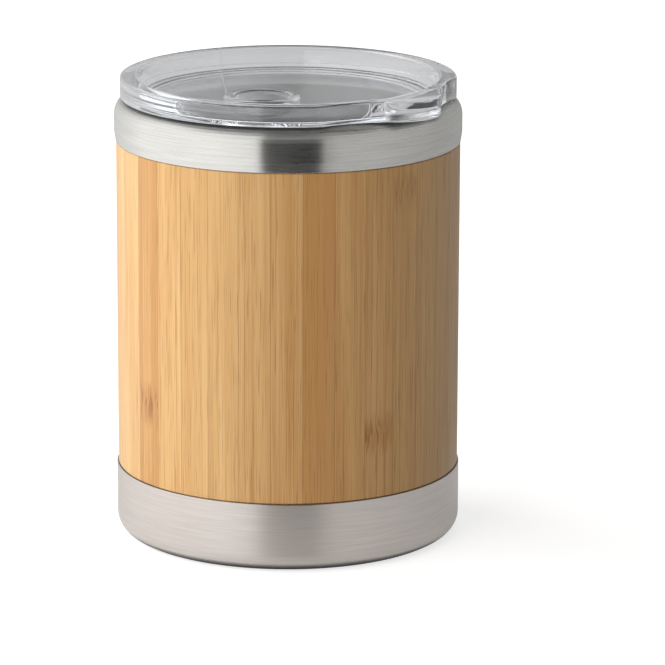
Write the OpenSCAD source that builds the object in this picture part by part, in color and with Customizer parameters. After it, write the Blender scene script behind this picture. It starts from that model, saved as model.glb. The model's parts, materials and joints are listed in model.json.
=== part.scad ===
// Double-walled steel tumbler with a sleeve of laminated bamboo, a brushed base cup and a clear press-on lid.
// Millimetres. The origin is the centre of the face it stands on, +Z is up, -Y is the front.

/* [Bamboo sleeve] */
// Outer radius of the bamboo sleeve
sleeve_r = 41; // [38:0.5:46]
// Height of bamboo that shows between the two steel bands
sleeve_h = 78.9; // [60:0.5:110]
// Thickness of the bamboo
sleeve_t = 3.3; // [2.5:0.1:4]
// Strips glued edge to edge round the sleeve
strip_count = 34; // [24:1:44]
// Direction of the first glue line, where -90 is the front
first_joint = -84.6; // [-180:0.1:180]
// Length of the sleeve's turned-down foot inside the base cup
sleeve_foot_h = 3; // [1:0.5:6]

/* [Steel bands] */
// Height of the base cup
base_h = 16.8; // [12:0.2:26]
// How far the base cup stands proud of the bamboo
base_proud = 0.35; // [0.3:0.05:0.6]
// Radius of the base cup's lower corner
base_corner_r = 4.2; // [3:0.2:6]
// Radius of the raised panel under the base
panel_r = 31; // [20:1:32]
// How high the panel is raised off the table
panel_lift = 1.1; // [0.6:0.1:2]
// Height of the collar, from the bamboo to the crest
collar_h = 10.4; // [9:0.2:16]
// How far the collar stands proud of the bamboo
collar_proud = 0.45; // [0.3:0.05:0.6]
// Radius of the collar's rounded shoulder
shoulder_r = 4; // [3:0.25:5]
// Height over which the collar's foot draws in to the bamboo
collar_taper_h = 2.4; // [1.5:0.1:3.5]

/* [Steel walls] */
// Sheet thickness of the base cup
base_wall = 0.5; // [0.4:0.05:0.6]
// Sheet thickness of the outer shell and of its bottom
shell_wall = 0.5; // [0.4:0.05:0.7]
// Sheet thickness of the liner that holds the drink
liner_wall = 0.5; // [0.4:0.05:0.7]
// Empty space between the liner and the outer shell
double_wall_gap = 1; // [0.7:0.1:1.4]
// How much narrower the liner is at its floor than at its mouth
liner_taper = 1.2; // [0.6:0.1:2.5]
// Height of the liner's floor above the table
liner_floor_z = 8; // [6:0.5:14]
// Radius of the liner's lower corner
liner_corner_r = 6; // [4:0.5:9]

/* [Lid] */
// How far the lid's edge lies inside the collar's outer face
lid_inset = 1.45; // [1.2:0.05:2]
// Height of the lid's top above the steel crest
lid_stand = 5; // [4.4:0.1:7]
// Width of the lid's flat top ring
rim_w = 4.2; // [3.4:0.1:5]
// Depth of the recess inside the ring
recess_depth = 3.4; // [2.8:0.1:4]
// How far the recess narrows towards its floor
recess_draft = 1.8; // [0.8:0.1:2.4]
// Thickness of the lid's floor
lid_floor_t = 2; // [1.5:0.1:2.4]
// Wall of the plug that goes into the mouth
plug_t = 2; // [1.7:0.1:2.6]
// How far the plug reaches below the steel crest
plug_depth = 3.5; // [3.3:0.1:6]
// Radius on the lid's upper edge
lid_edge_r = 1.2; // [0.6:0.1:1.6]

/* [Lifting tab] */
// Direction of the lifting tab, where -90 is the front
tab_az = -42; // [-180:1:180]
// Radius of the tab's round nose
nose_r = 10.5; // [8:0.5:13]
// How far the tab reaches past the lid's edge
tab_reach = 4.5; // [3.5:0.25:6]
// Depth of the finger hollows on both sides of the tab
hollow_depth = 1.6; // [1:0.1:2]
// Radius of the curve of each finger hollow
hollow_r = 30; // [20:1:40]

/* [Drinking hole] */
// Direction of the drinking hole, where -90 is the front
hole_az = -110; // [-150:1:-70]
// Distance of the hole from the lid's middle
hole_at = 17.5; // [14:0.5:20]
// Radius of the drinking hole
hole_r = 6.7; // [5:0.1:7.5]
// Width of the raised ring round the hole
hole_ring_w = 2.3; // [1.5:0.1:3]
// Height of the raised ring above the lid's floor
hole_ring_h = 1.6; // [0.8:0.1:2.4]

/* [Gasket] */
// Height of the groove that holds the gasket
groove_h = 1.6; // [1.2:0.1:1.8]
// Depth of the groove
groove_d = 1; // [0.8:0.1:1.2]
// How far the groove lies above the plug's lower edge
groove_up = 0.8; // [0.6:0.1:1]

/* [Hidden] */
// clearances and small edges
glue_gap = 0.1;
seat_gap = 0.05;
shell_foot_gap = 0.1;
sleeve_foot_clear = 0.1;
disc_clear = 0.05;
lid_seat = 0.12;
plug_clear = 0.7;
gasket_clear = 0.3;
gasket_seat = 0.05;
gasket_nose_r = 0.5;
sleeve_chamfer = 0.2;
band_edge_r = 0.25;
collar_fold_r = 0.3;
collar_draw_in = 0.3;
foot_ring_min = 1;
plug_lead_in = 0.4;
recess_edge_r = 0.8;
recess_fillet_r = 0.9;
hollow_bite = 0.2;
hole_chamfer = 0.5;
over = 1;
arc_steps = 8;
waist_share = 0.8;
hollow_sweep = 50;
hollow_steps = 30;
$fn = 96;

// radii that follow from the sleeve
base_r = sleeve_r + base_proud;
collar_r = sleeve_r + collar_proud;
shell_r = sleeve_r - sleeve_t - glue_gap;
mouth_r = shell_r - shell_wall - double_wall_gap - liner_wall;
crest_r = collar_r - shoulder_r;
lip_r = crest_r - mouth_r;
liner_floor_r = mouth_r - liner_taper;

// heights that follow from the bands
sleeve_top_z = base_h + sleeve_h;
crest_z = sleeve_top_z + collar_h;
shoulder_z = crest_z - shoulder_r;
shell_foot_z = base_wall + shell_foot_gap;
disc_z = panel_lift + base_wall;

// the lid follows the collar and the mouth
lid_r = collar_r - lid_inset;
rim_top_z = crest_z + lid_stand;
rim_inner_r = lid_r - rim_w;
recess_floor_r = rim_inner_r - recess_draft;
floor_top_z = rim_top_z - recess_depth;
floor_under_z = floor_top_z - lid_floor_t;
plug_r = mouth_r - plug_clear;
plug_bottom_z = crest_z - plug_depth;
groove_z = plug_bottom_z + groove_up;
nest_r = shoulder_r + lid_seat;
nest_end = acos((lid_r - crest_r) / nest_r);
lid_under_z = shoulder_z + nest_r * sin(nest_end);

// the tab's nose, and the hollows that run into it almost without a corner
nose_at = lid_r + tab_reach - nose_r;
hollow_at = lid_r - hollow_depth + hollow_r;
nose_to_hollow = hollow_r + nose_r - hollow_bite;
hollow_turn = acos((pow(hollow_at, 2) + pow(nose_at, 2) - pow(nose_to_hollow, 2)) / (2 * hollow_at * nose_at));
tab_root_r = lid_r - rim_w / 2;

strip_turn = 360 / strip_count;

function strip_name(i) = str("bamboo_strip_", i < 10 ? "0" : "", i);

// points along an arc about c, from angle a0 to angle a1
function arc(c, r, a0, a1, steps = arc_steps) =
    [for (i = [0:steps]) let (a = a0 + (a1 - a0) * i / steps) c + r * [cos(a), sin(a)]];

// a point at distance r from the axis, in the direction a
function polar(r, a) = r * [cos(a), sin(a)];

// Steel liner: floor, tapered wall, and the inner half of the rolled lip
module inner_liner() {
    corner_at = [liner_floor_r - liner_corner_r, liner_floor_z + liner_corner_r];
    lip_at = [crest_r, crest_z - lip_r];
    color("silver")
    rotate_extrude()
    polygon(concat(
        [[0, liner_floor_z - liner_wall]],
        arc(corner_at, liner_corner_r + liner_wall, -90, 0),
        arc(lip_at, lip_r - liner_wall, 180, 90),
        arc(lip_at, lip_r, 90, 180),
        arc(corner_at, liner_corner_r, 0, -90),
        [[0, liner_floor_z]]
    ));
}

// Outer steel shell: a tube behind the bamboo that steps out to the collar and runs over its shoulder
module outer_shell() {
    foot_r = collar_r - collar_draw_in;
    color("gainsboro")
    rotate_extrude()
    polygon(concat(
        [[shell_r - shell_wall, shell_foot_z], [shell_r, shell_foot_z], [shell_r, sleeve_top_z]],
        arc([foot_r - collar_fold_r, sleeve_top_z + collar_fold_r], collar_fold_r, -90, 0),
        [[collar_r, sleeve_top_z + collar_taper_h]],
        arc([crest_r, shoulder_z], shoulder_r, 0, 90),
        arc([crest_r, shoulder_z], shoulder_r - shell_wall, 90, 0),
        [
            [collar_r - shell_wall, sleeve_top_z + collar_taper_h],
            [foot_r - shell_wall, sleeve_top_z + shell_wall],
            [shell_r - shell_wall, sleeve_top_z + shell_wall]
        ]
    ));
}

// Round steel disc that closes the space between the liner and the shell
module shell_bottom() {
    color("darkgray")
    translate([0, 0, disc_z])
    cylinder(h = shell_wall, r = shell_r - shell_wall - disc_clear);
}

// Drawn base cup with a rounded corner and a raised panel
module base_cup() {
    slope_r = panel_r + panel_lift;
    // the corner's rounding leaves a flat foot ring to stand on
    corner_r = min(base_corner_r, base_r - slope_r - foot_ring_min);
    corner_at = [base_r - corner_r, corner_r];
    color("silver")
    rotate_extrude()
    polygon(concat(
        [[0, panel_lift], [panel_r, panel_lift], [slope_r, 0]],
        arc(corner_at, corner_r, -90, 0),
        arc([base_r - band_edge_r, base_h - band_edge_r], band_edge_r, 0, 90),
        [[base_r - base_wall, base_h]],
        arc(corner_at, corner_r - base_wall, 0, -90),
        [[slope_r, base_wall], [panel_r, panel_lift + base_wall], [0, panel_lift + base_wall]]
    ));
}

// Cross section of the sleeve: the foot goes inside the base cup, the top butts under the collar
module sleeve_section() {
    inner_r = sleeve_r - sleeve_t;
    foot_r = base_r - base_wall - sleeve_foot_clear;
    foot_z = base_h - sleeve_foot_h;
    seat_z = base_h + seat_gap;
    top_z = sleeve_top_z - seat_gap;
    polygon([
        [inner_r, foot_z],
        [foot_r, foot_z],
        [foot_r, seat_z],
        [sleeve_r - sleeve_chamfer, seat_z],
        [sleeve_r, seat_z + sleeve_chamfer],
        [sleeve_r, top_z - sleeve_chamfer],
        [sleeve_r - sleeve_chamfer, top_z],
        [inner_r, top_z]
    ]);
}

// One strip of the lamination
module bamboo_strip(i) {
    color(i % 2 == 0 ? "burlywood" : "tan")
    rotate([0, 0, first_joint + (i - 1) * strip_turn])
    rotate_extrude(angle = strip_turn)
    sleeve_section();
}

// Cross section of the round lid: recess, ring, nest over the shoulder, plug and gasket groove
module lid_section() {
    polygon(concat(
        [
            [0, floor_under_z],
            [plug_r - plug_t, floor_under_z],
            [plug_r - plug_t, plug_bottom_z],
            [plug_r - plug_lead_in, plug_bottom_z],
            [plug_r, plug_bottom_z + plug_lead_in],
            [plug_r, groove_z],
            [plug_r - groove_d, groove_z],
            [plug_r - groove_d, groove_z + groove_h],
            [plug_r, groove_z + groove_h],
            [plug_r, crest_z + lid_seat]
        ],
        arc([crest_r, shoulder_z], nest_r, 90, nest_end),
        arc([lid_r - lid_edge_r, rim_top_z - lid_edge_r], lid_edge_r, 0, 90),
        arc([rim_inner_r + recess_edge_r, rim_top_z - recess_edge_r], recess_edge_r, 90, 180),
        arc([recess_floor_r - recess_fillet_r, floor_top_z + recess_fillet_r], recess_fillet_r, 0, -90),
        [[0, floor_top_z]]
    ));
}

// Plan of the tab's root: it reaches into the hollows, which are cut afterwards
module tab_root_plan() {
    touch = [for (s = [-1, 1])
        let (to_hollow = polar(hollow_at, s * hollow_turn) - [nose_at, 0])
        [nose_at, 0] + nose_r * to_hollow / norm(to_hollow)];
    waist = [for (s = [-1, 1]) polar(hollow_at - waist_share * hollow_r, s * hollow_turn)];
    polygon([[0, 0], waist[0], touch[0], touch[1], waist[1]]);
}

// Plan of one finger hollow, on the side s of the tab
module hollow_plan(s) {
    facing = 180 + s * hollow_turn;
    polygon(arc(polar(hollow_at, s * hollow_turn), hollow_r, facing - hollow_sweep, facing + hollow_sweep, hollow_steps));
}

// Everything the tab must stay clear of: the recess, and the steel below the lid
module tab_clearance() {
    cylinder(h = rim_top_z + over, r = tab_root_r);
    rotate_extrude()
    polygon(concat(
        [[0, lid_under_z - over], [lid_r, lid_under_z - over]],
        arc([crest_r, shoulder_z], nest_r, nest_end, 90),
        [[0, crest_z + lid_seat]]
    ));
}

// Lifting tab, flush with the lid's top
module lifting_tab() {
    nose_h = rim_top_z - lid_under_z;
    difference() {
        translate([0, 0, lid_under_z]) {
            hull()
            for (a = [0, 45, 90])
                translate([nose_at, 0, 0])
                cylinder(h = nose_h - lid_edge_r * (1 - sin(a)), r = nose_r - lid_edge_r * (1 - cos(a)));
            linear_extrude(nose_h) tab_root_plan();
        }
        tab_clearance();
    }
}

// Clear moulded lid
module lid() {
    color("lightcyan", 0.5)
    difference() {
        union() {
            rotate_extrude() lid_section();
            rotate([0, 0, tab_az]) lifting_tab();
            rotate([0, 0, hole_az])
            translate([hole_at, 0, floor_top_z - lid_floor_t / 2])
            cylinder(h = hole_ring_h + lid_floor_t / 2, r = hole_r + hole_ring_w);
        }
        for (s = [-1, 1])
            rotate([0, 0, tab_az])
            translate([0, 0, plug_bottom_z])
            linear_extrude(rim_top_z - plug_bottom_z + over) hollow_plan(s);
        rotate([0, 0, hole_az])
        translate([hole_at, 0, floor_under_z - over])
        cylinder(h = lid_floor_t + hole_ring_h + 2 * over, r = hole_r);
        rotate([0, 0, hole_az])
        translate([hole_at, 0, floor_top_z + hole_ring_h - hole_chamfer])
        cylinder(h = hole_chamfer + over, r1 = hole_r, r2 = hole_r + hole_chamfer + over);
    }
}

// Soft ring in the plug's groove, drawn as it is squeezed by the mouth
module lid_gasket() {
    outer_r = mouth_r - gasket_clear;
    low_z = groove_z + gasket_seat;
    high_z = groove_z + groove_h - gasket_seat;
    color("whitesmoke")
    rotate_extrude()
    polygon(concat(
        [[plug_r - groove_d + gasket_seat, low_z]],
        arc([outer_r - gasket_nose_r, low_z + gasket_nose_r], gasket_nose_r, -90, 0),
        arc([outer_r - gasket_nose_r, high_z - gasket_nose_r], gasket_nose_r, 0, 90),
        [[plug_r - groove_d + gasket_seat, high_z]]
    ));
}

inner_liner();
outer_shell();
shell_bottom();
base_cup();
lid();
lid_gasket();
for (i = [1:strip_count])
    bamboo_strip(i);
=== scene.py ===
# %% [markdown]
# # A steel tumbler in a bamboo sleeve, with a clear press-on lid
# The steel, the bamboo strips and the silicone ring arrive as finished solids, already in their places, so
# this lesson dresses them: it gives them finishes, sets up a small studio, and models the one piece whose
# soft moulded curves a construction model can only hint at, the clear lid.
#
# Everything is in metres in one frame: the origin is the centre of the ring that the cup stands on, Z is
# up, and the viewer stands on the -Y side.

import json
import math

import bmesh
import bpy
import numpy as np
from mathutils import Matrix, Quaternion, Vector

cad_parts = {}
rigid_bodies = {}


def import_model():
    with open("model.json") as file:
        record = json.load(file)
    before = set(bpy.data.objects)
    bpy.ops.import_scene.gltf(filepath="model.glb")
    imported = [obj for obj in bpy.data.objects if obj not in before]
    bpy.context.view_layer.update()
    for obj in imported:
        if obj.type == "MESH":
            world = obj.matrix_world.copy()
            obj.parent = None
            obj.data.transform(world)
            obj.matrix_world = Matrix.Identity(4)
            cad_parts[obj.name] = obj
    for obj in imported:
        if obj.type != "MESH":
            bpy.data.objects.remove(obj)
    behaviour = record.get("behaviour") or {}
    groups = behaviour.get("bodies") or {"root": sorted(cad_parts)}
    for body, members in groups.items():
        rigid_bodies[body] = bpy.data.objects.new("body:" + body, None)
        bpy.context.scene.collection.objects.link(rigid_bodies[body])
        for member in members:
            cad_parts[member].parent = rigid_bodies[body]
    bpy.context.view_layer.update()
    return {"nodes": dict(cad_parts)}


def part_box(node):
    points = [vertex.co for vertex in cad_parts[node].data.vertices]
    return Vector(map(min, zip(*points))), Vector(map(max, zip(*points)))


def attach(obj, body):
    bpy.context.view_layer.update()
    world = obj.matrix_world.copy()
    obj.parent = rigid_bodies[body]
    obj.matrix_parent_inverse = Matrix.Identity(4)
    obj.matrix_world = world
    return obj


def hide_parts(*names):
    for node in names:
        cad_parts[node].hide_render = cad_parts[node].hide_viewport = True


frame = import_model()
MM = 0.001

# %% [markdown]
# ## The camera
# A product photograph of a cup is taken from far away with a long lens, so that its sides stay nearly
# parallel. The camera could be placed by eye, but four numbers describe it better: how far it stands from
# the point it looks at, how high it looks down, how long the lens is, and a slight roll of the camera in
# its head.

# %% Place the camera
LOOK_AT = Vector((10.7, 0.0, 48.0)) * MM
CAMERA_DISTANCE = 1031 * MM
CAMERA_ELEVATION = math.radians(14.1)
CAMERA_ROLL = math.radians(0.2)
# in mm, for the 36 mm sensor that Blender starts with
LENS_LENGTH = 231.6
# in metres, far enough for the whole floor
FARTHEST_SEEN = 20

camera_data = bpy.data.cameras.new("camera")
camera_data.lens = LENS_LENGTH
camera_data.clip_end = FARTHEST_SEEN
camera = bpy.data.objects.new("camera", camera_data)
towards_camera = Vector((0, -math.cos(CAMERA_ELEVATION), math.sin(CAMERA_ELEVATION)))
camera.location = LOOK_AT + towards_camera * CAMERA_DISTANCE
aim = (-towards_camera).to_track_quat("-Z", "Y")
camera.rotation_mode = "QUATERNION"
camera.rotation_quaternion = aim @ Quaternion((0, 0, 1), CAMERA_ROLL)
bpy.context.scene.collection.objects.link(camera)
bpy.context.scene.camera = camera
print("camera stands at", [round(x, 3) for x in camera.location])

# %% [markdown]
# ## How far light is followed
# The renderer gives up on a ray of light after a number of turns. Light runs round and round inside a clear
# moulding, and each ray that is cut short leaves a black patch there. A brighter plastic would only hide
# that, so the number of turns is raised. The Standard view shows colours as they are written, and the last
# grain is smoothed out of the picture.

# %% Let light run on inside the lid
LIGHT_BOUNCES = 40
bpy.context.scene.view_settings.view_transform = "Standard"
bpy.context.scene.cycles.use_denoising = True
bpy.context.scene.cycles.max_bounces = LIGHT_BOUNCES
bpy.context.scene.cycles.transmission_bounces = LIGHT_BOUNCES
bpy.context.scene.cycles.glossy_bounces = LIGHT_BOUNCES
print("light is followed for", LIGHT_BOUNCES, "turns")

# %% [markdown]
# ## Small helpers for every material
# Colours are easiest to note as the sRGB hex values that a painter's program shows, while a shader wants
# them linear, so one function translates. A second one adds a node with its settings and links in a single
# call and hands back its output, ready to be the input of the next one. With these two, a material reads as
# a list of its nodes and nothing more.

# %% Colour and node helpers
def linear(hex_colour):
    """An sRGB hex value as the linear colour that shaders use."""
    parts = [int(hex_colour[i:i + 2], 16) / 255 for i in (1, 3, 5)]
    return [c / 12.92 if c <= 0.04045 else ((c + 0.055) / 1.055) ** 2.4 for c in parts] + [1.0]


def add_node(tree, kind, inputs=(), out=0, **settings):
    """Adds one node and hands back one of its outputs, or all of them if out is None.

    The inputs come in order, or in a dict by name or number. Each is a value or another node's output.
    """
    node = tree.nodes.new("ShaderNode" + kind)
    for name, value in settings.items():
        setattr(node, name, value)
    for socket, value in inputs.items() if isinstance(inputs, dict) else enumerate(inputs):
        if isinstance(value, bpy.types.NodeSocket):
            tree.links.new(value, node.inputs[socket])
        else:
            node.inputs[socket].default_value = value
    return node.outputs if out is None else node.outputs[out]


def start_material(name):
    """An empty material and its node tree."""
    material = bpy.data.materials.new(name)
    material.use_nodes = True
    material.node_tree.nodes.clear()
    return material, material.node_tree


def finish_material(tree, shader):
    """Links the last shader to the surface."""
    add_node(tree, "OutputMaterial", [shader], out=None)


WHITE = linear("#FFFFFF")
print("mid grey, #808080, is", round(linear("#808080")[0], 3), "in linear light")

# %% [markdown]
# ## Who is looking?
# A photographer lights the background until it is white, but steel and clear plastic look best with calmer
# greys round them. More light on the floor would only spoil the object, so the shader asks instead: the
# Light Path node tells whether a ray comes from the camera, from a mirror or through the lid, and each way
# of looking gets a strength of its own.
#
# A ray that crosses the clear plastic once has gone through two surfaces. One that goes down into the cup,
# meets the steel and comes out again crosses it twice. It gets the mirror's strength, raised to make up for
# what is lost on the way.

# %% Choose a strength by the way of looking
# one crossing of the plastic is two surfaces and two crossings are four, and the limit lies between them
MOST_SURFACES = 3.5
INSIDE_GAIN = 2.4
# the float inputs of a Mix node, by number, because its colours have the same names
MIX_FACTOR, MIX_A, MIX_B = 0, 2, 3


def strength_for(tree, camera, mirrored, refracted, bounced):
    """One strength for each way of looking: straight, mirrored, through the lid, and as bounced light."""
    path = add_node(tree, "LightPath", out=None)
    only_once = add_node(tree, "Math", [path["Transmission Depth"], MOST_SURFACES], operation="LESS_THAN")
    inside = add_node(tree, "Math", [mirrored, INSIDE_GAIN], operation="MULTIPLY")
    through = add_node(tree, "Mix", {MIX_FACTOR: only_once, MIX_A: inside, MIX_B: refracted})
    strength = bounced
    for ray, its_strength in (("Is Glossy Ray", mirrored), ("Is Transmission Ray", through),
                              ("Is Camera Ray", camera)):
        strength = add_node(tree, "Mix", {MIX_FACTOR: path[ray], MIX_A: strength, MIX_B: its_strength})
    return strength


print("rays that cross more than", int(MOST_SURFACES), "surfaces count as coming from inside the cup")

# %% [markdown]
# ## The floor
# The cup stands on a sheet of white paper, which is matt and shows no highlight. A real white floor is
# never quite white in a render, so the camera sees a little light added to it, while it still catches the
# cup's soft shadow. In the steel and through the lid it is grey.

# %% Lay the floor
FLOOR_SIZE = 8.0
FLOOR_GLOW = 0.71
MIRRORED_FLOOR_GLOW = 0.32

paper, tree = start_material("white_paper")
sheet = add_node(tree, "BsdfDiffuse", {"Color": linear("#BEBEBC")})
glow = strength_for(tree, FLOOR_GLOW, MIRRORED_FLOOR_GLOW, MIRRORED_FLOOR_GLOW, 0.0)
light = add_node(tree, "Emission", {"Color": WHITE, "Strength": glow})
finish_material(tree, add_node(tree, "AddShader", [sheet, light]))

half = FLOOR_SIZE / 2
corners = [(-half, -half, 0), (half, -half, 0), (half, half, 0), (-half, half, 0)]
floor_mesh = bpy.data.meshes.new("floor")
floor_mesh.from_pydata(corners, [], [(0, 1, 2, 3)])
floor_mesh.materials.append(paper)
floor = bpy.data.objects.new("floor", floor_mesh)
bpy.context.scene.collection.objects.link(floor)
print("floor side in m:", FLOOR_SIZE)

# %% [markdown]
# ## The room
# Behind the sheet is a white room. It could be modelled with walls, but the world's background does the
# same: white for the camera, and a faint fill light for everything that stands in it. Steel and the lid
# don't see it, because the light tent, two steps on, takes its place for them.

# %% Make the white room
ROOM_GLOW = 1.0
ROOM_FILL = 0.3

world = bpy.data.worlds.new("white_room")
world.use_nodes = True
world.node_tree.nodes.clear()
room_strength = strength_for(world.node_tree, ROOM_GLOW, 0.0, 0.0, ROOM_FILL)
room = add_node(world.node_tree, "Background", {"Color": WHITE, "Strength": room_strength})
add_node(world.node_tree, "OutputWorld", [room], out=None)
world.cycles_visibility.glossy = False
world.cycles_visibility.transmission = False
bpy.context.scene.world = world
print("the room fills the shadows with a strength of", ROOM_FILL)

# %% [markdown]
# ## The lamps
# The picture is lit by a large soft window of light on the left and a little behind the cup, and by a
# second one nearer the front. That is what makes the bamboo run from pale honey to brown across one cup.
# The lamps are hidden from reflections, because the next step draws what the steel sees with more care.

# %% Hang two soft lamps
# each lamp's place and side in metres, and its power in watts
LAMPS = {"key_lamp": ((-0.9, 0.25, 0.8), 1.1, 16),
         "front_lamp": ((-0.75, -0.8, 0.5), 1.0, 11.5)}


def soft_lamp(name, place, size, watts):
    """A square lamp that faces the middle of the cup."""
    data = bpy.data.lights.new(name, "AREA")
    data.shape, data.size, data.energy = "SQUARE", size, watts
    lamp = bpy.data.objects.new(name, data)
    lamp.location = place
    lamp.rotation_mode = "QUATERNION"
    lamp.rotation_quaternion = (LOOK_AT - lamp.location).to_track_quat("-Z", "Y")
    lamp.visible_glossy = False
    lamp.visible_camera = False
    bpy.context.scene.collection.objects.link(lamp)


for name, (place, size, watts) in LAMPS.items():
    soft_lamp(name, place, size, watts)
print("lamps:", ", ".join(LAMPS))

# %% [markdown]
# ## What the steel sees
# Brushed steel is a blurred mirror, so its look is mostly the look of the room round it. Modelling a studio
# is slow and noisy. A light tent does the same job: a tall sleeve of paper with a grey roof round the cup
# that only reflections and refractions see, bright on the left, dim on the right, with a dark gap where the
# camera stands. The gap ends a little above the cup. The tent gives no light of its own and casts no
# shadow.
#
# The clear lid bends light to the eye from all round the tent, from the dark gap and the dark roof too,
# which would turn its edges black. So what is seen through the lid never falls below a strength of its own.

# %% Paint the light tent
LEFT_GLOW = 1.45
RIGHT_GLOW = 0.68
BACK_GLOW = 0.25
LEAST_GLOW_THROUGH_LID = 0.58
ROOF_GLOW = 0.08
ROOF_GLOW_THROUGH_LID = 0.5
GAP_GLOW = 0.05
GAP_TOP = 138 * MM
GAP_TOP_BLUR = 2 * MM
OVER_GAP_GLOW = 0.5
# degrees from the front, anticlockwise from above (towards the right); each glow runs evenly to the next
TENT_STOPS = [(-180, BACK_GLOW), (-115, LEFT_GLOW * 0.75), (-90, LEFT_GLOW), (-40, LEFT_GLOW),
              (-15, LEFT_GLOW * 0.85), (-13, GAP_GLOW * 2), (0, GAP_GLOW * 1.6), (4, GAP_GLOW),
              (17.8, GAP_GLOW), (18.9, RIGHT_GLOW * 0.75), (28, RIGHT_GLOW), (50, RIGHT_GLOW),
              (90, RIGHT_GLOW * 0.8), (130, RIGHT_GLOW * 0.7), (180, BACK_GLOW)]

tent_paper, tree = start_material("light_tent_paper")
x, y, z = add_node(tree, "SeparateXYZ", [add_node(tree, "TexCoord", out="Object")], out=None)
backwards = add_node(tree, "Math", [y, -1.0], operation="MULTIPLY")
turn = add_node(tree, "Math", [x, backwards], operation="ARCTAN2")
share = add_node(tree, "MapRange", {"Value": turn, "From Min": -math.pi, "From Max": math.pi})
glow = add_node(tree, "ValToRGB", [share])
ramp = glow.node.color_ramp
for i, (degrees, glow_there) in enumerate(TENT_STOPS):
    position = (degrees + 180) / 360
    # a new ramp has two stops already
    stop = ramp.elements[i] if i < 2 else ramp.elements.new(position)
    stop.position = position
    stop.color = [glow_there / LEFT_GLOW] * 3 + [1]
over_gap = add_node(tree, "MapRange", {
    "Value": z, "From Min": GAP_TOP - GAP_TOP_BLUR, "From Max": GAP_TOP + GAP_TOP_BLUR,
    "To Max": OVER_GAP_GLOW / LEFT_GLOW})
glow = add_node(tree, "Math", [glow, over_gap], operation="MAXIMUM")
glow = add_node(tree, "Math", [glow, LEFT_GLOW], operation="MULTIPLY")
glow_through_lid = add_node(tree, "Math", [glow, LEAST_GLOW_THROUGH_LID], operation="MAXIMUM")
tent_glow = strength_for(tree, 0.0, glow, glow_through_lid, 0.0)
finish_material(tree, add_node(tree, "Emission", {"Strength": tent_glow}))

grey_roof, tree = start_material("grey_studio_ceiling")
roof_glow = strength_for(tree, 0.0, ROOF_GLOW, ROOF_GLOW_THROUGH_LID, 0.0)
finish_material(tree, add_node(tree, "Emission", {"Strength": roof_glow}))
print("stops of light round the tent:", len(TENT_STOPS))

# %% [markdown]
# ## The tent itself
# The tent is a plain tube with a roof. Blender's own cylinder would do, but a mesh built from its corners
# makes it easy to give the roof a second material. The sides are flat, and so many that no reflection shows
# an edge between two of them.

# %% Put up the light tent
TENT_RADIUS = 100 * MM
TENT_TOP = 215 * MM
TENT_SIDES = 180

rings = [[(TENT_RADIUS * math.cos(a), TENT_RADIUS * math.sin(a), z)
          for a in (i * math.tau / TENT_SIDES for i in range(TENT_SIDES))] for z in (0.0, TENT_TOP)]
walls = [(i, (i + 1) % TENT_SIDES, TENT_SIDES + (i + 1) % TENT_SIDES, TENT_SIDES + i)
         for i in range(TENT_SIDES)]
roof = [tuple(range(TENT_SIDES, 2 * TENT_SIDES))]
tent_mesh = bpy.data.meshes.new("light_tent")
tent_mesh.from_pydata(rings[0] + rings[1], [], walls + roof)
tent_mesh.materials.append(tent_paper)
tent_mesh.materials.append(grey_roof)
tent_mesh.polygons[-1].material_index = 1
tent = bpy.data.objects.new("light_tent", tent_mesh)
tent.visible_camera = tent.visible_diffuse = tent.visible_shadow = False
bpy.context.scene.collection.objects.link(tent)

# %% [markdown]
# ## Scratches that run round the axis
# The collar and the base are stainless steel, brushed on a turntable: fine scratches run round the axis. A
# noise texture can draw them if it is stretched. Going round the cup it changes slowly, and going up, down
# or outwards it changes fast.

# %% Stretch a noise round the axis
def round_the_axis(tree, across_mm, waves_round):
    """A place on the cup, stretched for a noise: fine up and down and outwards, slow round the axis."""
    here = add_node(tree, "TexCoord", out="Object")
    up = add_node(tree, "SeparateXYZ", [here], "Z")
    flat = add_node(tree, "VectorMath", [here, (1, 1, 0)], operation="MULTIPLY")
    away = add_node(tree, "VectorMath", [flat], out="Value", operation="LENGTH")
    facing = add_node(tree, "VectorMath", [flat], operation="NORMALIZE")
    slow = add_node(tree, "VectorMath", {0: facing, "Scale": waves_round}, operation="SCALE")
    along = add_node(tree, "Math", [up, away], operation="SUBTRACT")
    fine = add_node(tree, "Math", [along, 1 / (across_mm * MM)], operation="MULTIPLY")
    return add_node(tree, "VectorMath", [slow, add_node(tree, "CombineXYZ", {"Z": fine})])


# the way round the cup is a circle of this radius in the noise, which changes about once in each unit
SCRATCH_WAVES = 3.0
print("changes of tone on the way round:", round(math.tau * SCRATCH_WAVES))

# %% [markdown]
# ## Brushed stainless steel
# Each scratch is a tiny groove that scatters light up and down but hardly sideways, so reflections smear
# along the axis and stay sharp across it. The scratches could be a bump alone, but they are far finer than
# a pixel, so an anisotropic shader does the smearing, and a coarser noise adds the few that the eye can
# make out. The base is brushed more coarsely than the collar, which makes it rougher and its reflections
# softer. Deep corners get hardly any light, and a mirror shows that as a dark line of shade, so shade is
# painted into the steel's colour: it turns to a dark grey where something stands close to it.

# %% Make the brushed steel
# painted shade: how far the steel looks for something close by, how strongly that darkens it, and its grey
PAINTED_SHADE_REACH = 2.2 * MM
PAINTED_SHADE_DARKNESS = 2.5
PAINTED_SHADE_SAMPLES = 6
PAINTED_SHADE_GREY = "#343432"
SCRATCH_BUMP = 0.35
# shares of the steel's roughness where the scratches are faintest and deepest
ROUGHNESS_LOW, ROUGHNESS_HIGH = 0.85, 1.15
# reflections have to smear up and down, and not round the cup
QUARTER_TURN = 0.25
# the colour inputs and the colour output of a Mix node, by number
COLOUR_A, COLOUR_B, COLOUR_OUT = 6, 7, 2


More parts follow.
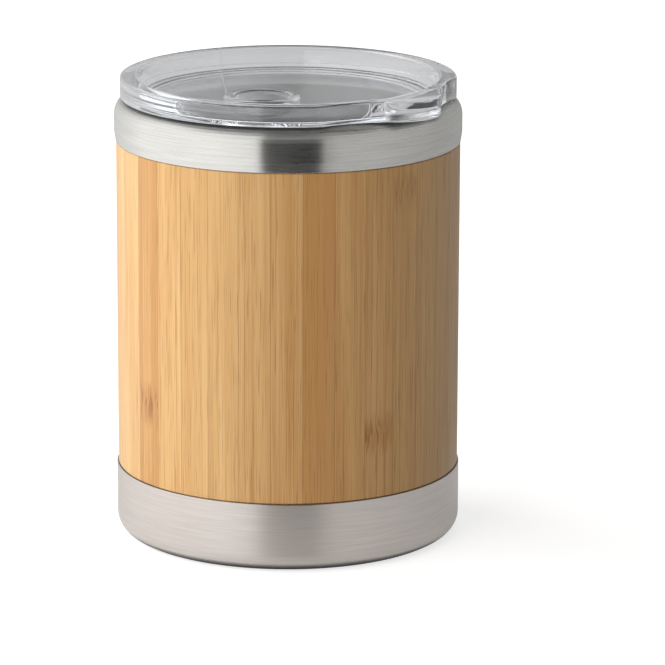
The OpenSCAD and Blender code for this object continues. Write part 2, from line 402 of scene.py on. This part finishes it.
def steel(name, dark, light, roughness, anisotropy, scratch_mm, scratch_depth_mm):
    """Stainless steel with scratches that run round the axis, and painted shade in its corners."""
    material, tree = start_material(name)
    where = round_the_axis(tree, scratch_mm, SCRATCH_WAVES)
    scratches = add_node(tree, "TexNoise", {"Vector": where, "Scale": 1.0, "Detail": 3.0})
    tone = add_node(tree, "Mix", {MIX_FACTOR: scratches, COLOUR_A: linear(dark), COLOUR_B: linear(light)},
                    COLOUR_OUT, data_type="RGBA")
    # painted shade: the steel's colour turns to the dark grey in corners and under the lid, where little
    # light falls
    openness = add_node(tree, "AmbientOcclusion", {"Distance": PAINTED_SHADE_REACH}, "AO", samples=PAINTED_SHADE_SAMPLES)
    painted_shade = add_node(tree, "Math", [openness, PAINTED_SHADE_DARKNESS], operation="POWER")
    with_painted_shade = add_node(tree, "Mix", {MIX_FACTOR: painted_shade, COLOUR_A: linear(PAINTED_SHADE_GREY), COLOUR_B: tone},
                      COLOUR_OUT, data_type="RGBA")
    rough = add_node(tree, "MapRange", {"Value": scratches, "To Min": roughness * ROUGHNESS_LOW,
                                        "To Max": roughness * ROUGHNESS_HIGH})
    bump = add_node(tree, "Bump", {"Height": scratches, "Strength": SCRATCH_BUMP,
                                   "Distance": scratch_depth_mm * MM})
    finish_material(tree, add_node(tree, "BsdfPrincipled", {
        "Base Color": with_painted_shade, "Metallic": 1.0, "Roughness": rough, "Anisotropic": anisotropy,
        "Anisotropic Rotation": QUARTER_TURN, "Normal": bump,
        "Tangent": add_node(tree, "Tangent", direction_type="RADIAL", axis="Z")}))
    return material


collar_steel = steel("finely_brushed_stainless_steel", "#B4B3AF", "#DEDDD9",
                     roughness=0.28, anisotropy=0.96, scratch_mm=0.35, scratch_depth_mm=0.008)
base_steel = steel("coarsely_brushed_stainless_steel", "#C4BDB8", "#E4DDD8",
                   roughness=0.44, anisotropy=0.8, scratch_mm=0.35, scratch_depth_mm=0.008)
# the inside is drawn over a die and not brushed, which leaves wider and shallower marks
drawn_steel = steel("drawn_stainless_steel", "#BDBDBA", "#D8D8D5",
                    roughness=0.36, anisotropy=0.96, scratch_mm=0.6, scratch_depth_mm=0.006)
print("steels:", ", ".join(m.name for m in (collar_steel, base_steel, drawn_steel)))

# %% [markdown]
# ## Dress the steel pieces
# The outer shell, whose upper end is the collar, is finely brushed and the base coarsely. The liner and the
# disc that closes the shell are drawn from sheet and left as they are.

# %% Put the steel on
STEEL_NODES = {"outer_shell": collar_steel, "base_cup": base_steel,
               "inner_liner": drawn_steel, "shell_bottom": drawn_steel}


def dress(node, material):
    """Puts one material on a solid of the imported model."""
    mesh = frame["nodes"][node].data
    mesh.materials.clear()
    mesh.materials.append(material)


for node, material in STEEL_NODES.items():
    dress(node, material)
print("steel pieces:", len(STEEL_NODES))

# %% [markdown]
# ## Bamboo: the strips
# The sleeve is glued from upright strips of bamboo, turned to a cylinder, sanded and given a thin matt
# lacquer. Each strip comes from another cane, so its tone changes at the glue line. Every strip could have
# a material of its own, but one can do for all, because a strip's number follows from its direction round
# the axis.

# %% Measure the strips
STRIPS = sorted(n for n in frame["nodes"] if n.startswith("bamboo_strip"))
STRIP_TURN = math.tau / len(STRIPS)
SLEEVE_RADIUS = max(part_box(n)[1].x for n in STRIPS)
STRIP_WIDTH_MM = SLEEVE_RADIUS * STRIP_TURN / MM
first_mesh = frame["nodes"][STRIPS[0]].data
FIRST_JOINT = min(math.atan2(v.co.y, v.co.x) for v in first_mesh.vertices)
print("strips:", len(STRIPS), " width in mm:", round(STRIP_WIDTH_MM, 2),
      " first glue line at:", round(math.degrees(FIRST_JOINT), 1))

# %% [markdown]
# ## Bamboo: where on the cane?
# Each point has to know its strip, how far across the strip it lies, and how near the next knot is. A knot
# is a joint of the cane, and every cane has its own, so they are listed by strip and height.

# %% Find the place on the strip
# strips are counted from the first glue line; each knot has a height in mm and a share of darkness
KNOTS = {3: (32.4, 0.8), 4: (89.4, 0.45), 9: (58.0, 0.8), 11: (30.0, 0.6), 14: (76.0, 1.0),
         18: (44.0, 0.8), 21: (90.0, 0.6), 25: (63.0, 1.0), 29: (36.8, 1.0)}
KNOT_HALF_HEIGHT_MM = 6.5
# strips that come from a darker cane than their neighbours, as shares of the way to deep bamboo
BROWNER = {34: 0.2, 1: 0.45, 2: 0.4, 3: 0.2, 29: 0.5, 10: 0.4, 16: 0.3, 22: 0.35}
# how far apart in the noise two neighbouring strips lie, so that they come from different canes
CANE_STEP = 13.7

sanded_bamboo, tree = start_material("sanded_bamboo")
x, y, z = add_node(tree, "SeparateXYZ", [add_node(tree, "TexCoord", out="Object")], out=None)
turn = add_node(tree, "Math", [y, x], operation="ARCTAN2")
# two whole turns more keep the direction above zero
from_joint = add_node(tree, "Math", [turn, 2 * math.tau - FIRST_JOINT])
wrapped = add_node(tree, "Math", [from_joint, math.tau], operation="MODULO")
counted = add_node(tree, "Math", [wrapped, STRIP_TURN], operation="DIVIDE")
strip = add_node(tree, "Math", [counted], operation="FLOOR")
across = add_node(tree, "Math", [counted], operation="FRACT")
across_mm = add_node(tree, "Math", [across, STRIP_WIDTH_MM], operation="MULTIPLY")
up_mm = add_node(tree, "Math", [z, MM], operation="DIVIDE")
own_place = add_node(tree, "Math", [strip, CANE_STEP], operation="MULTIPLY")


def on_strip(tree, number):
    """1 on the strip with this number, to within a half, and 0 on the others."""
    return add_node(tree, "Math", [strip, number - 1.0, 0.5], operation="COMPARE")


browner, knot = 0.0, 0.0
for number, share in BROWNER.items():
    browner = add_node(tree, "Math", [on_strip(tree, number), share, browner], operation="MULTIPLY_ADD")
for number, (height, darkness) in KNOTS.items():
    offset = add_node(tree, "Math", [add_node(tree, "Math", [up_mm, -height])], operation="ABSOLUTE")
    near = add_node(tree, "MapRange", {
        "Value": offset, "From Min": 0.0, "From Max": KNOT_HALF_HEIGHT_MM, "To Min": darkness,
        "To Max": 0.0}, interpolation_type="SMOOTHSTEP")
    knot = add_node(tree, "Math", [on_strip(tree, number), near, knot], operation="MULTIPLY_ADD")
print("knots:", len(KNOTS), " darker strips:", len(BROWNER))

# %% [markdown]
# ## Bamboo: fibres and pores
# Within a strip run fine fibres, with short pores between them, and a knot shows as a patch of short
# slanted dashes. All of these are one kind of noise, drawn out along the cane: thin and very long for a
# fibre, thin and short for a pore. The fibres run nearly straight, and lean out of the way of a knot.

# %% Grow the fibres
# each pattern's width and length in mm, its detail, and a seed of its own; real pores are about 0.1 mm
# wide, finer than a pixel, so they are drawn as coarse as they need to show
PATTERNS = {"sway": (4.0, 9.0, 1.0, 3.3), "drift": (3.0, 80.0, 1.0, 1.7),
            "fibres": (0.36, 90.0, 3.0, 5.1), "pores": (0.22, 14.0, 1.0, 9.4),
            "knot_dashes": (0.5, 4.5, 1.0, 12.9)}
NOISE_ROUGHNESS = 0.6
NOISE_MIDDLE = 0.5
SWAY_MM = 0.35
SWAY_AT_KNOT_MM = 3.5


def noise_at(tree, pattern, side_mm):
    """Noise drawn out along the cane, another one in every strip."""
    width_mm, length_mm, detail, seed = PATTERNS[pattern]
    where = add_node(tree, "CombineXYZ", [
        add_node(tree, "Math", [side_mm, width_mm], operation="DIVIDE"),
        add_node(tree, "Math", [own_place, seed]),
        add_node(tree, "Math", [up_mm, length_mm], operation="DIVIDE")])
    return add_node(tree, "TexNoise", {"Vector": where, "Scale": 1.0, "Detail": detail,
                                       "Roughness": NOISE_ROUGHNESS})


sway = add_node(tree, "Math", [noise_at(tree, "sway", across_mm), NOISE_MIDDLE], operation="SUBTRACT")
sway_mm = add_node(tree, "Math", [knot, SWAY_AT_KNOT_MM, SWAY_MM], operation="MULTIPLY_ADD")
fibre_at = add_node(tree, "Math", [sway, sway_mm, across_mm], operation="MULTIPLY_ADD")
drift, fibres, pores, knot_dashes = [noise_at(tree, pattern, fibre_at)
                                     for pattern in ("drift", "fibres", "pores", "knot_dashes")]
print("fibres are", PATTERNS["fibres"][0], "mm wide and", PATTERNS["fibres"][1], "mm long")

# %% [markdown]
# ## Bamboo: colour and lacquer
# The ground is one tone for every strip, which drifts slowly within it. Darker fibre bundles, short pores,
# the dashes of a knot and the glue lines lie over that, one after the other. Sanding leaves the fibres a
# few hundredths of a millimetre proud of the wood between them, and the matt lacquer follows them.

# %% Colour the bamboo
PALE_BAMBOO = "#D9B27A"
DEEP_BAMBOO = "#B98850"
FIBRE_BROWN = "#8E5E30"
KNOT_BROWN = "#8A5629"
GLUE_BROWN = "#7B5229"
# the seed of the canes' tones, and how much the canes, drift, fibres and knots count in the ground's tone
CANE_SEED = 4.3
CANE_SHARE, DRIFT_SHARE, FIBRE_SHARE, KNOT_SHARE = 0.3, 0.85, 1.1, 0.4
# the sums at which the ground is wholly pale and wholly deep
PALE_AT, DEEP_AT = 0.62, 1.62
# where each mark begins to show, where it is full, and how much it covers there; glue lines are measured in
# mm from the strip's edge, the others by their noise
FIBRE_MARK, PORE_MARK, KNOT_MARK = (0.58, 0.72, 0.6), (0.57, 0.70, 0.5), (0.48, 0.62, 0.8)
GLUE_MARK = (0.16, 0.02, 0.4)
PORE_DEPTH_SHARE = 0.5
GRAIN_BUMP = 0.4
GRAIN_DEPTH = 0.03 * MM

cane = add_node(tree, "TexWhiteNoise", {"W": add_node(tree, "Math", [strip, CANE_SEED])},
                noise_dimensions="1D")
tone = browner
for pattern, share in ((cane, CANE_SHARE), (drift, DRIFT_SHARE), (fibres, FIBRE_SHARE), (knot, KNOT_SHARE)):
    tone = add_node(tree, "Math", [pattern, share, tone], operation="MULTIPLY_ADD")
deep = add_node(tree, "MapRange", {"Value": tone, "From Min": PALE_AT, "From Max": DEEP_AT})
colour = add_node(tree, "Mix", {MIX_FACTOR: deep, COLOUR_A: linear(PALE_BAMBOO),
                                COLOUR_B: linear(DEEP_BAMBOO)}, COLOUR_OUT, data_type="RGBA")

from_far_edge = add_node(tree, "Math", [STRIP_WIDTH_MM, across_mm], operation="SUBTRACT")
to_edge = add_node(tree, "Math", [across_mm, from_far_edge], operation="MINIMUM")
for pattern, (start, full, share), brown, where in (
        (fibres, FIBRE_MARK, FIBRE_BROWN, 1.0), (pores, PORE_MARK, FIBRE_BROWN, 1.0),
        (knot_dashes, KNOT_MARK, KNOT_BROWN, knot), (to_edge, GLUE_MARK, GLUE_BROWN, 1.0)):
    mark = add_node(tree, "MapRange", {"Value": pattern, "From Min": start, "From Max": full,
                                       "To Max": share}, interpolation_type="SMOOTHSTEP")
    there = add_node(tree, "Math", [mark, where], operation="MULTIPLY")
    colour = add_node(tree, "Mix", {MIX_FACTOR: there, COLOUR_A: colour, COLOUR_B: linear(brown)},
                      COLOUR_OUT, data_type="RGBA")

grain = add_node(tree, "Math", [pores, PORE_DEPTH_SHARE, fibres], operation="MULTIPLY_ADD")
bump = add_node(tree, "Bump", {"Height": grain, "Strength": GRAIN_BUMP, "Distance": GRAIN_DEPTH})
finish_material(tree, add_node(tree, "BsdfPrincipled", {
    "Base Color": colour, "Roughness": 0.4, "IOR": 1.5, "Normal": bump}))
for node in STRIPS:
    dress(node, sanded_bamboo)
print("bamboo on", len(STRIPS), "strips, from", len(tree.nodes), "nodes")

# %% [markdown]
# ## The lid's outline
# Seen from above the lid is a disc with a lifting tab: a round nose, and on each side of it a shallow
# hollow for the finger, which runs into the nose in one soft S. The outline is the distance from the axis
# in every direction. It could be drawn as a spline, but three circles describe it exactly: the hollow cuts
# into the rim, and the nose stands out from both. Smoothing the joint between them gives the S.

# %% Set out the three circles
shell_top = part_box("outer_shell")[1]
COLLAR_R = shell_top.x
CREST_Z = shell_top.z
RIM_TOP_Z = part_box("lid")[1].z
LID_INSET = 1.45 * MM
LID_R = COLLAR_R - LID_INSET
TAB_TURN = math.radians(-42)
NOSE_R = 10.5 * MM
TAB_REACH = 4.5 * MM
HOLLOW_DEPTH = 1.6 * MM
HOLLOW_R = 30 * MM
NOSE_AT = LID_R + TAB_REACH - NOSE_R
HOLLOW_AT = LID_R - HOLLOW_DEPTH + HOLLOW_R
# the two circles touch, so the three sides from the axis to both centres give the angle between them
HOLLOW_TURN = math.acos((HOLLOW_AT ** 2 + NOSE_AT ** 2 - (HOLLOW_R + NOSE_R) ** 2)
                        / (2 * HOLLOW_AT * NOSE_AT))
print("the hollows lie", round(math.degrees(HOLLOW_TURN), 1), "degrees to each side of the tab")

# %% [markdown]
# ## From circles to an outline
# A line from the axis meets a circle twice. The nose shows its far side and the hollow its near side, so
# one function finds both. The outline is kept as a plain row of distances, which can be smoothed by taking
# the mean of neighbours a few times.

# %% Work out the outline
ROUND_STEPS = 720
OUTLINE_SMOOTHINGS = 6


def circle_from_axis(turn, centre_r, centre_turn, radius, far):
    """Distance from the axis to a circle in the direction turn, or None where it misses."""
    delta = turn - centre_turn
    under_root = radius ** 2 - (centre_r * math.sin(delta)) ** 2
    if under_root < 0 or math.cos(delta) < 0:
        return None
    return centre_r * math.cos(delta) + (1 if far else -1) * math.sqrt(under_root)


def outline_at(turn):
    """The lid's reach in one direction, measured from the tab's own direction."""
    turn = (turn + math.pi) % math.tau - math.pi
    reach = LID_R
    for side in (-1, 1):
        hollow = circle_from_axis(turn, HOLLOW_AT, side * HOLLOW_TURN, HOLLOW_R, far=False)
        if hollow is not None:
            reach = min(reach, hollow)
    nose = circle_from_axis(turn, NOSE_AT, 0.0, NOSE_R, far=True)
    return reach if nose is None else max(reach, nose)


directions = np.arange(ROUND_STEPS) * math.tau / ROUND_STEPS
outline = np.array([outline_at(a - TAB_TURN) for a in directions])
for _ in range(OUTLINE_SMOOTHINGS):
    outline = (np.roll(outline, 1) + 2 * outline + np.roll(outline, -1)) / 4
print("lid reaches, mm:", round(outline.min() / MM, 2), "to", round(outline.max() / MM, 2))

# %% [markdown]
# ## The lid's sizes
# The lid is one moulding: a recessed floor, a thick ring that rests on the steel shoulder, and a plug that
# goes down into the mouth with a groove for the silicone ring. Its heights are counted from the top of the
# rim and from the crest of the steel, which the solids give.

# %% Note the lid's sizes
# the steel that the lid fits: the round of its shoulder, and how far in from the crest its mouth begins
SHOULDER_R = 4.0 * MM
CREST_TO_MOUTH = 1.85 * MM
# the room left between the two, above the crest and round the plug
LID_SEAT = 0.12 * MM
PLUG_PLAY = 0.7 * MM
# the ring, the recess in it with its sloping wall, and the floor
RIM_W = 4.2 * MM
RECESS_DEPTH = 4.6 * MM
RECESS_DRAFT = 1.5 * MM
FLOOR_T = 1.9 * MM
# the plug, and the groove in it, counted up from the plug's lower end
PLUG_T = 2.0 * MM
PLUG_DEPTH = 3.5 * MM
GROOVE_UP = 0.8 * MM
GROOVE_H = 1.6 * MM
GROOVE_D = 1.0 * MM
# how round the edges are
LID_EDGE_R = 0.5 * MM
RECESS_EDGE_R = 0.8 * MM
RECESS_FILLET_R = 0.6 * MM
SMALL_R = 0.4 * MM
LOWER_EDGE_R = SMALL_R * 0.6
# how far the recess's wall leans at its two rounds, in degrees
WALL_LEAN = 10

CREST_R = COLLAR_R - SHOULDER_R
PLUG_R = CREST_R - CREST_TO_MOUTH - PLUG_PLAY
PLUG_INNER_R = PLUG_R - PLUG_T
PLUG_LOW_Z = CREST_Z - PLUG_DEPTH
GROOVE_Z = PLUG_LOW_Z + GROOVE_UP
RING_UNDER_Z = CREST_Z + LID_SEAT
RIM_INNER_R = LID_R - RIM_W
FLOOR_R = RIM_INNER_R - RECESS_DRAFT
FLOOR_TOP_Z = RIM_TOP_Z - RECESS_DEPTH
FLOOR_UNDER_Z = FLOOR_TOP_Z - FLOOR_T
print("the lid's floor is from", round(FLOOR_UNDER_Z / MM, 2), "to", round(FLOOR_TOP_Z / MM, 2), "mm up")

# %% [markdown]
# ## The lid's section
# Turning a cross section round the axis makes the whole moulding, as a lathe would, and only the points of
# the outer wall follow the outline instead of a circle. Under the ring the section is flat and the steel
# shoulder is round, so a thin dark gap opens between them. Long straight stretches get a few points in
# between, so that the faces there don't become slivers.

# %% Draw the cross section
SMALL_STEPS = 4


def arc(centre, radius, start, end, steps=8):
    """Points of an arc in a section, angles in degrees."""
    angles = [math.radians(start + (end - start) * i / steps) for i in range(steps + 1)]
    return [(centre[0] + radius * math.cos(a), centre[1] + radius * math.sin(a)) for a in angles]


def lid_section(reach):
    """The section in one direction, from the middle of the underside round to the middle of the top."""
    points = [(PLUG_INNER_R * s, FLOOR_UNDER_Z) for s in (0.15, 0.5, 0.9)]
    # the plug, with the silicone ring's groove in its outer wall
    points += arc((PLUG_INNER_R - SMALL_R, FLOOR_UNDER_Z - SMALL_R), SMALL_R, 90, 0, SMALL_STEPS)
    points += arc((PLUG_INNER_R + SMALL_R, PLUG_LOW_Z + SMALL_R), SMALL_R, 180, 270, SMALL_STEPS)
    points += arc((PLUG_R - SMALL_R, PLUG_LOW_Z + SMALL_R), SMALL_R, 270, 360, SMALL_STEPS)
    points += [(PLUG_R, GROOVE_Z), (PLUG_R - GROOVE_D, GROOVE_Z),
               (PLUG_R - GROOVE_D, GROOVE_Z + GROOVE_H), (PLUG_R, GROOVE_Z + GROOVE_H)]
    # the flat underside of the ring, and the outer wall
    points += arc((PLUG_R + SMALL_R, RING_UNDER_Z - SMALL_R), SMALL_R, 180, 90, SMALL_STEPS)
    points += [(CREST_R + (reach - LOWER_EDGE_R - CREST_R) * s, RING_UNDER_Z) for s in (0.0, 0.5)]
    points += arc((reach - LOWER_EDGE_R, RING_UNDER_Z + LOWER_EDGE_R), LOWER_EDGE_R, 270, 360, SMALL_STEPS)
    points += [(reach, RING_UNDER_Z + (RIM_TOP_Z - LID_EDGE_R - RING_UNDER_Z) * s) for s in (0.35, 0.7)]
    points += arc((reach - LID_EDGE_R, RIM_TOP_Z - LID_EDGE_R), LID_EDGE_R, 0, 90)
    # the recess: its upper edge, the leaning wall, the fillet and the floor
    points += arc((RIM_INNER_R + RECESS_EDGE_R, RIM_TOP_Z - RECESS_EDGE_R), RECESS_EDGE_R,
                  90, 180 - WALL_LEAN)
    points += arc((FLOOR_R - RECESS_FILLET_R, FLOOR_TOP_Z + RECESS_FILLET_R), RECESS_FILLET_R,
                  -WALL_LEAN, -90)
    points += [(FLOOR_R * s, FLOOR_TOP_Z) for s in (0.8, 0.5, 0.15)]
    return points


sections = [lid_section(reach) for reach in outline]
print("points in each section:", len(sections[0]))

# %% [markdown]
# ## The lid's body
# Blender's Screw modifier turns a section round an axis, but it can't let the outer wall reach out for the
# tab. So the faces are built here, a row of four-sided ones between each section and the next, with a point
# on the axis that closes the middle of both ends.

# %% Turn the cross section
def turned_mesh(name, sections):
    """A closed body from one section for each direction, with a point on the axis at both ends."""
    count = len(sections[0])
    steps = len(sections)
    spots = []
    for i, section in enumerate(sections):
        turn = i * math.tau / steps
        spots += [(r * math.cos(turn), r * math.sin(turn), z) for r, z in section]
    bottom, top = len(spots), len(spots) + 1
    spots += [(0, 0, sections[0][0][1]), (0, 0, sections[0][-1][1])]
    faces = []
    for i in range(steps):
        here, there = i * count, (i + 1) % steps * count
        faces += [(here + k, there + k, there + k + 1, here + k + 1) for k in range(count - 1)]
        faces += [(bottom, there, here), (top, here + count - 1, there + count - 1)]
    mesh = bpy.data.meshes.new(name)
    mesh.from_pydata(spots, [], faces)
    body = bpy.data.objects.new(name, mesh)
    bpy.context.scene.collection.objects.link(body)
    return body


clear_lid = turned_mesh("clear_lid", sections)
print("lid body:", len(clear_lid.data.polygons), "faces")

# %% [markdown]
# ## The ring of the drinking hole
# One drinks through a round hole near the front, with a raised ring round it. It can't be turned with the
# rest, because it lies off the axis, so the ring is turned by itself, round the middle of the hole.

# %% Make the ring
HOLE_TURN = math.radians(-110)
HOLE_AT = 17.5 * MM
HOLE_R = 6.7 * MM
HOLE_RING_W = 2.3 * MM
HOLE_RING_H = 2.8 * MM
HOLE_RING_ROUND = 0.8 * MM
RING_STEPS = 96
hole_centre = Vector((HOLE_AT * math.cos(HOLE_TURN), HOLE_AT * math.sin(HOLE_TURN), 0))


def ring_of(name, section):
    """A ring from a closed section of points, turned round the middle of the hole."""
    count = len(section)
    spots = []
    for i in range(RING_STEPS):
        turn = i * math.tau / RING_STEPS
        spots += [(hole_centre.x + r * math.cos(turn), hole_centre.y + r * math.sin(turn), z)
                  for r, z in section]
    faces = [(i * count + k, (i + 1) % RING_STEPS * count + k,
              (i + 1) % RING_STEPS * count + (k + 1) % count, i * count + (k + 1) % count)
             for i in range(RING_STEPS) for k in range(count)]
    mesh = bpy.data.meshes.new(name)
    mesh.from_pydata(spots, [], faces)
    ring = bpy.data.objects.new(name, mesh)
    bpy.context.scene.collection.objects.link(ring)
    return ring


ring_top_z = FLOOR_TOP_Z + HOLE_RING_H
ring_outer_r = HOLE_R + HOLE_RING_W
hole_section = arc((HOLE_R + SMALL_R, FLOOR_UNDER_Z), SMALL_R, 180, 270, SMALL_STEPS)
hole_section += [(ring_outer_r - SMALL_R, FLOOR_UNDER_Z - SMALL_R), (ring_outer_r, FLOOR_TOP_Z - SMALL_R)]
hole_section += arc((ring_outer_r - HOLE_RING_ROUND, ring_top_z - HOLE_RING_ROUND), HOLE_RING_ROUND, 0, 90)
hole_section += arc((HOLE_R + HOLE_RING_ROUND, ring_top_z - HOLE_RING_ROUND), HOLE_RING_ROUND, 90, 180)
hole_ring = ring_of("hole_ring", hole_section)
print("the hole is", round(2 * HOLE_R / MM, 1), "mm wide, its ring", round(2 * ring_outer_r / MM, 1))

# %% [markdown]
# ## Set the ring into the lid
# A cylinder, whose wall runs down the middle of the ring's own, is cut out of the floor. A second boolean
# joins the ring on, which leaves one moulding with a hole through it. A boolean can fail without a word, so
# the volume and the open edges are counted after each.

# %% Cut the floor and join the ring
SHARP_ANGLE = math.radians(38)


def volume_and_gaps(body):
    """A body's volume in cubic cm, which is negative if it is inside out, and its open edges."""
    checked = bmesh.new()
    checked.from_mesh(body.data)
    volume = checked.calc_volume(signed=True) / (10 * MM) ** 3
    gaps = sum(not edge.is_manifold for edge in checked.edges)
    checked.free()
    return round(volume, 3), gaps


def cut_or_join(body, tool, operation):
    """Applies a boolean to body and removes the tool."""
    step = body.modifiers.new("step", "BOOLEAN")
    step.operation, step.object, step.solver = operation, tool, "EXACT"
    changed = bpy.data.meshes.new_from_object(body.evaluated_get(bpy.context.evaluated_depsgraph_get()))
    body.modifiers.clear()
    body.data = changed
    bpy.data.objects.remove(tool)
    print(operation.lower(), "leaves cubic cm and open edges:", volume_and_gaps(body))


cutter_r = HOLE_R + HOLE_RING_W / 2
lower, upper = FLOOR_UNDER_Z - MM, RIM_TOP_Z + MM
cutter_section = [(cutter_r / 2, lower), (cutter_r, lower), (cutter_r, upper), (cutter_r / 2, upper)]
cutter = turned_mesh("cutter", [cutter_section] * RING_STEPS)
cutter.data.transform(Matrix.Translation(hole_centre))
cut_or_join(clear_lid, cutter, "DIFFERENCE")
cut_or_join(clear_lid, hole_ring, "UNION")
clear_lid.data.polygons.foreach_set("use_smooth", [True] * len(clear_lid.data.polygons))
clear_lid.data.set_sharp_from_angle(angle=SHARP_ANGLE)
print("lid with its drinking hole:", len(clear_lid.data.polygons), "faces")

# %% [markdown]
# ## A weld line in the plastic
# Where two streams of melt meet in a mould they leave a fine weld line. Here it runs from beside the
# drinking hole to the back of the ring. It is far shallower than anything worth modelling, so a dent in the
# shading is all that it needs.

# %% Dent the surface along the weld line
WELD_TURN = math.radians(94.5)
WELD_BESIDE = 7.2 * MM
WELD_HALF_WIDTH = 0.35 * MM
WELD_DEPTH = 0.09 * MM
weld_along = Vector((math.cos(WELD_TURN), math.sin(WELD_TURN), 0))
weld_aside = Vector((-weld_along.y, weld_along.x, 0))

polystyrene, tree = start_material("clear_polystyrene")
from_hole = add_node(tree, "VectorMath", [add_node(tree, "TexCoord", out="Object"), hole_centre],
                     operation="SUBTRACT")
along = add_node(tree, "VectorMath", [from_hole, weld_along], "Value", operation="DOT_PRODUCT")
aside = add_node(tree, "VectorMath", [from_hole, weld_aside], "Value", operation="DOT_PRODUCT")
aside = add_node(tree, "Math", [aside, WELD_BESIDE], operation="SUBTRACT")
dent = add_node(tree, "MapRange", {"Value": add_node(tree, "Math", [aside], operation="ABSOLUTE"),
                                   "From Max": WELD_HALF_WIDTH, "To Min": -1.0, "To Max": 0.0},
                interpolation_type="SMOOTHSTEP")
behind = add_node(tree, "Math", [along, HOLE_R], operation="GREATER_THAN")
weld = add_node(tree, "Bump", {"Height": add_node(tree, "Math", [dent, behind], operation="MULTIPLY"),
                               "Strength": 1.0, "Distance": WELD_DEPTH})
print("the weld line passes the hole at", round(WELD_BESIDE / MM, 1), "mm")

# %% [markdown]
# ## Clear polystyrene
# The lid is moulded from clear polystyrene: hard, brilliant, and with an IOR of 1.59 it bends light more
# than window glass does, which draws the dark and bright lines along its edges. A very faint cool tint is
# enough. Light on its way to the steel below would be lost in the sharp bends, so shadow rays pass straight
# through.

# %% Make the clear plastic
CLEAR_TINT = "#FBFCFE"
SHADOW_TINT = "#EEF0F2"

clear_body = add_node(tree, "BsdfPrincipled", {
    "Base Color": linear(CLEAR_TINT), "Roughness": 0.02, "IOR": 1.59, "Transmission Weight": 1.0,
    "Normal": weld})
passing = add_node(tree, "BsdfTransparent", {"Color": linear(SHADOW_TINT)})
is_shadow = add_node(tree, "LightPath", out="Is Shadow Ray")
finish_material(tree, add_node(tree, "MixShader", [is_shadow, clear_body, passing]))
clear_lid.data.materials.clear()
clear_lid.data.materials.append(polystyrene)
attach(clear_lid, "lid")
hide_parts("lid")
print("the lid is made of", polystyrene.name)

# %% [markdown]
# ## The silicone ring
# A soft ring in the plug's groove seals the mouth. Silicone rubber is milky: light goes in and is
# scattered, so it shows as a pale band through the lid.

# %% Make the silicone
MOTTLE_SIZE = 4 * MM
MILKY_GREY = "#E3E6E8"
MILKY_WHITE = "#F1F3F4"

silicone, tree = start_material("milky_silicone_rubber")
where = add_node(tree, "TexCoord", out="Object")
mottle = add_node(tree, "TexNoise", {"Vector": where, "Scale": 1 / MOTTLE_SIZE})
milky = add_node(tree, "Mix", {MIX_FACTOR: mottle, COLOUR_A: linear(MILKY_GREY),
                               COLOUR_B: linear(MILKY_WHITE)}, COLOUR_OUT, data_type="RGBA")
finish_material(tree, add_node(tree, "BsdfPrincipled", {
    "Base Color": milky, "Roughness": 0.45, "IOR": 1.41, "Subsurface Weight": 0.4,
    "Subsurface Radius": (1.0, 1.0, 1.0), "Subsurface Scale": 0.8 * MM}))
dress("lid_gasket", silicone)
print("the seal is made of", silicone.name)
